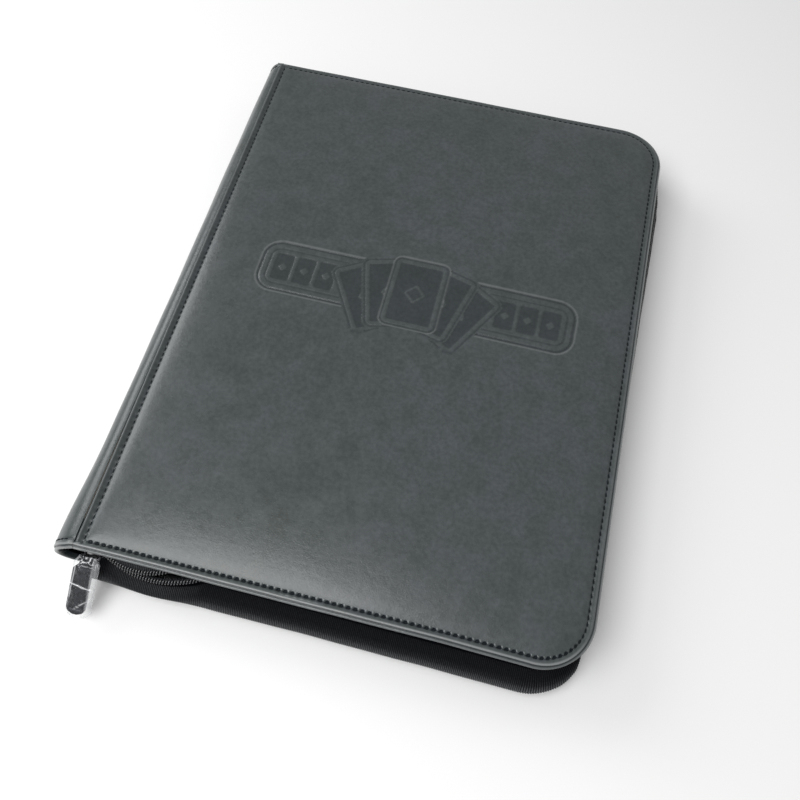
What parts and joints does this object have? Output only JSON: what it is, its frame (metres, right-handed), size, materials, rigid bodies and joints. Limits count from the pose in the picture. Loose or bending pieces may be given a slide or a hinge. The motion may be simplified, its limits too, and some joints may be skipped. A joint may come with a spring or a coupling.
{
  "type": "zip-around trading card binder",
  "caption": "Zip-around card binder with padded leatherette covers, a round spine, a side-loading pocket leaf block and a three-sided zip with a pull.",
  "frame": {"origin": "middle of the back cover's outer face, on which the shut binder lies", "axes": "+X from the spine to the fore edge, +Y from the foot to the head, +Z from the back cover up to the front cover"},
  "size_m": [0.2836, 0.3892, 0.038],
  "materials": {
    "leather": "satin",
    "foam": "matte",
    "board": "matte",
    "lining": "matte",
    "thread": "satin",
    "zip_tape": "matte",
    "coil": "satin",
    "binding": "matte",
    "slider_metal": "gloss",
    "pull_metal": "gloss",
    "film": "gloss",
    "pocket_film": "gloss"
  },
  "bodies": {
    "back_cover": {"back_leather": "leather", "back_foam": "foam", "back_board": "board", "back_lining": "lining", "back_stitching": "thread", "back_seam_band": "leather", "lower_zip_tape": "zip_tape", "lower_coil": "coil", "lower_head_stop": "coil"},
    "spine": {"spine_leather": "leather", "spine_stiffener": "board", "spine_lining": "lining", "spine_end_binding": "zip_tape", "spine_stitching": "thread", "page_binding": "binding"},
    "front_cover": {"front_leather": "leather", "front_foam": "foam", "front_board": "board", "front_lining": "lining", "front_stitching": "thread", "front_seam_band": "leather", "upper_zip_tape": "zip_tape", "upper_coil": "coil", "upper_head_stop": "coil"},
    "slider": {"slider_body": "slider_metal", "slider_bridge": "slider_metal"},
    "pull": {"pull_link": "slider_metal", "pull_tab": "pull_metal", "pull_film": "film"},
    "leaf_01_turning": {"leaf_01": "pocket_film"},
    "leaf_02_turning": {"leaf_02": "pocket_film"},
    "leaf_03_turning": {"leaf_03": "pocket_film"},
    "leaf_04_turning": {"leaf_04": "pocket_film"},
    "leaf_05_turning": {"leaf_05": "pocket_film"},
    "leaf_06_turning": {"leaf_06": "pocket_film"},
    "leaf_07_turning": {"leaf_07": "pocket_film"},
    "leaf_08_turning": {"leaf_08": "pocket_film"},
    "leaf_09_turning": {"leaf_09": "pocket_film"},
    "leaf_10_turning": {"leaf_10": "pocket_film"},
    "leaf_11_turning": {"leaf_11": "pocket_film"},
    "leaf_12_turning": {"leaf_12": "pocket_film"},
    "leaf_13_turning": {"leaf_13": "pocket_film"},
    "leaf_14_turning": {"leaf_14": "pocket_film"},
    "leaf_15_turning": {"leaf_15": "pocket_film"},
    "leaf_16_turning": {"leaf_16": "pocket_film"},
    "leaf_17_turning": {"leaf_17": "pocket_film"},
    "leaf_18_turning": {"leaf_18": "pocket_film"},
    "leaf_19_turning": {"leaf_19": "pocket_film"},
    "leaf_20_turning": {"leaf_20": "pocket_film"}
  },
  "joints": [
    {"name": "cover_open", "type": "hinge", "parent": "spine", "child": "front_cover", "pos_m": [-0.134, 0, 0.037], "axis": [0, -1, 0], "range_deg": [0, 90]},
    {"name": "spine_fold", "type": "hinge", "parent": "back_cover", "child": "spine", "pos_m": [-0.134, 0, 0.001], "axis": [0, -1, 0], "range_deg": [0, 90]},
    {"name": "slider_run", "type": "slide", "parent": "back_cover", "child": "slider", "axis": [1, 0, 0], "range_m": [0, 0.22]},
    {"name": "pull_swing", "type": "hinge", "parent": "slider", "child": "pull", "pos_m": [-0.1265, -0.1782, 0.026], "axis": [-1, 0, 0], "range_deg": [-20, 110]},
    {"name": "leaf_01_turn", "type": "hinge", "parent": "spine", "child": "leaf_01_turning", "pos_m": [-0.1308, 0, 0.00713], "axis": [0, -1, 0], "range_deg": [-68.01, 0]},
    {"name": "leaf_02_turn", "type": "hinge", "parent": "spine", "child": "leaf_02_turning", "pos_m": [-0.1308, 0, 0.00838], "axis": [0, -1, 0], "range_deg": [-65.51, 0]},
    {"name": "leaf_03_turn", "type": "hinge", "parent": "spine", "child": "leaf_03_turning", "pos_m": [-0.1308, 0, 0.00962], "axis": [0, -1, 0], "range_deg": [-63.01, 0]},
    {"name": "leaf_04_turn", "type": "hinge", "parent": "spine", "child": "leaf_04_turning", "pos_m": [-0.1308, 0, 0.01087], "axis": [0, -1, 0], "range_deg": [-60.51, 0]},
    {"name": "leaf_05_turn", "type": "hinge", "parent": "spine", "child": "leaf_05_turning", "pos_m": [-0.1308, 0, 0.01213], "axis": [0, -1, 0], "range_deg": [-58.01, 0]},
    {"name": "leaf_06_turn", "type": "hinge", "parent": "spine", "child": "leaf_06_turning", "pos_m": [-0.1308, 0, 0.01337], "axis": [0, -1, 0], "range_deg": [-55.51, 0]},
    {"name": "leaf_07_turn", "type": "hinge", "parent": "spine", "child": "leaf_07_turning", "pos_m": [-0.1308, 0, 0.01463], "axis": [0, -1, 0], "range_deg": [-53.01, 0]},
    {"name": "leaf_08_turn", "type": "hinge", "parent": "spine", "child": "leaf_08_turning", "pos_m": [-0.1308, 0, 0.01588], "axis": [0, -1, 0], "range_deg": [-50.51, 0]},
    {"name": "leaf_09_turn", "type": "hinge", "parent": "spine", "child": "leaf_09_turning", "pos_m": [-0.1308, 0, 0.01713], "axis": [0, -1, 0], "range_deg": [-48.01, 0]},
    {"name": "leaf_10_turn", "type": "hinge", "parent": "spine", "child": "leaf_10_turning", "pos_m": [-0.1308, 0, 0.01837], "axis": [0, -1, 0], "range_deg": [-45.51, 0]},
    {"name": "leaf_11_turn", "type": "hinge", "parent": "spine", "child": "leaf_11_turning", "pos_m": [-0.1308, 0, 0.01963], "axis": [0, -1, 0], "range_deg": [0, 45.51]},
    {"name": "leaf_12_turn", "type": "hinge", "parent": "spine", "child": "leaf_12_turning", "pos_m": [-0.1308, 0, 0.02088], "axis": [0, -1, 0], "range_deg": [0, 48.01]},
    {"name": "leaf_13_turn", "type": "hinge", "parent": "spine", "child": "leaf_13_turning", "pos_m": [-0.1308, 0, 0.02212], "axis": [0, -1, 0], "range_deg": [0, 50.51]},
    {"name": "leaf_14_turn", "type": "hinge", "parent": "spine", "child": "leaf_14_turning", "pos_m": [-0.1308, 0, 0.02337], "axis": [0, -1, 0], "range_deg": [0, 53.01]},
    {"name": "leaf_15_turn", "type": "hinge", "parent": "spine", "child": "leaf_15_turning", "pos_m": [-0.1308, 0, 0.02463], "axis": [0, -1, 0], "range_deg": [0, 55.51]},
    {"name": "leaf_16_turn", "type": "hinge", "parent": "spine", "child": "leaf_16_turning", "pos_m": [-0.1308, 0, 0.02587], "axis": [0, -1, 0], "range_deg": [0, 58.01]},
    {"name": "leaf_17_turn", "type": "hinge", "parent": "spine", "child": "leaf_17_turning", "pos_m": [-0.1308, 0, 0.02712], "axis": [0, -1, 0], "range_deg": [0, 60.51]},
    {"name": "leaf_18_turn", "type": "hinge", "parent": "spine", "child": "leaf_18_turning", "pos_m": [-0.1308, 0, 0.02838], "axis": [0, -1, 0], "range_deg": [0, 63.01]},
    {"name": "leaf_19_turn", "type": "hinge", "parent": "spine", "child": "leaf_19_turning", "pos_m": [-0.1308, 0, 0.02962], "axis": [0, -1, 0], "range_deg": [0, 65.51]},
    {"name": "leaf_20_turn", "type": "hinge", "parent": "spine", "child": "leaf_20_turning", "pos_m": [-0.1308, 0, 0.03087], "axis": [0, -1, 0], "range_deg": [0, 68.01]}
  ],
  "couplings": [
    {"joint": "spine_fold", "follows": "cover_open", "ratio": 1},
    {"joint": "leaf_01_turn", "follows": "cover_open", "ratio": -0.7556},
    {"joint": "leaf_02_turn", "follows": "cover_open", "ratio": -0.7278},
    {"joint": "leaf_03_turn", "follows": "cover_open", "ratio": -0.7},
    {"joint": "leaf_04_turn", "follows": "cover_open", "ratio": -0.6722},
    {"joint": "leaf_05_turn", "follows": "cover_open", "ratio": -0.6444},
    {"joint": "leaf_06_turn", "follows": "cover_open", "ratio": -0.6167},
    {"joint": "leaf_07_turn", "follows": "cover_open", "ratio": -0.5889},
    {"joint": "leaf_08_turn", "follows": "cover_open", "ratio": -0.5611},
    {"joint": "leaf_09_turn", "follows": "cover_open", "ratio": -0.5333},
    {"joint": "leaf_10_turn", "follows": "cover_open", "ratio": -0.5056},
    {"joint": "leaf_11_turn", "follows": "cover_open", "ratio": 0.5056},
    {"joint": "leaf_12_turn", "follows": "cover_open", "ratio": 0.5333},
    {"joint": "leaf_13_turn", "follows": "cover_open", "ratio": 0.5611},
    {"joint": "leaf_14_turn", "follows": "cover_open", "ratio": 0.5889},
    {"joint": "leaf_15_turn", "follows": "cover_open", "ratio": 0.6167},
    {"joint": "leaf_16_turn", "follows": "cover_open", "ratio": 0.6444},
    {"joint": "leaf_17_turn", "follows": "cover_open", "ratio": 0.6722},
    {"joint": "leaf_18_turn", "follows": "cover_open", "ratio": 0.7},
    {"joint": "leaf_19_turn", "follows": "cover_open", "ratio": 0.7278},
    {"joint": "leaf_20_turn", "follows": "cover_open", "ratio": 0.7556}
  ]
}
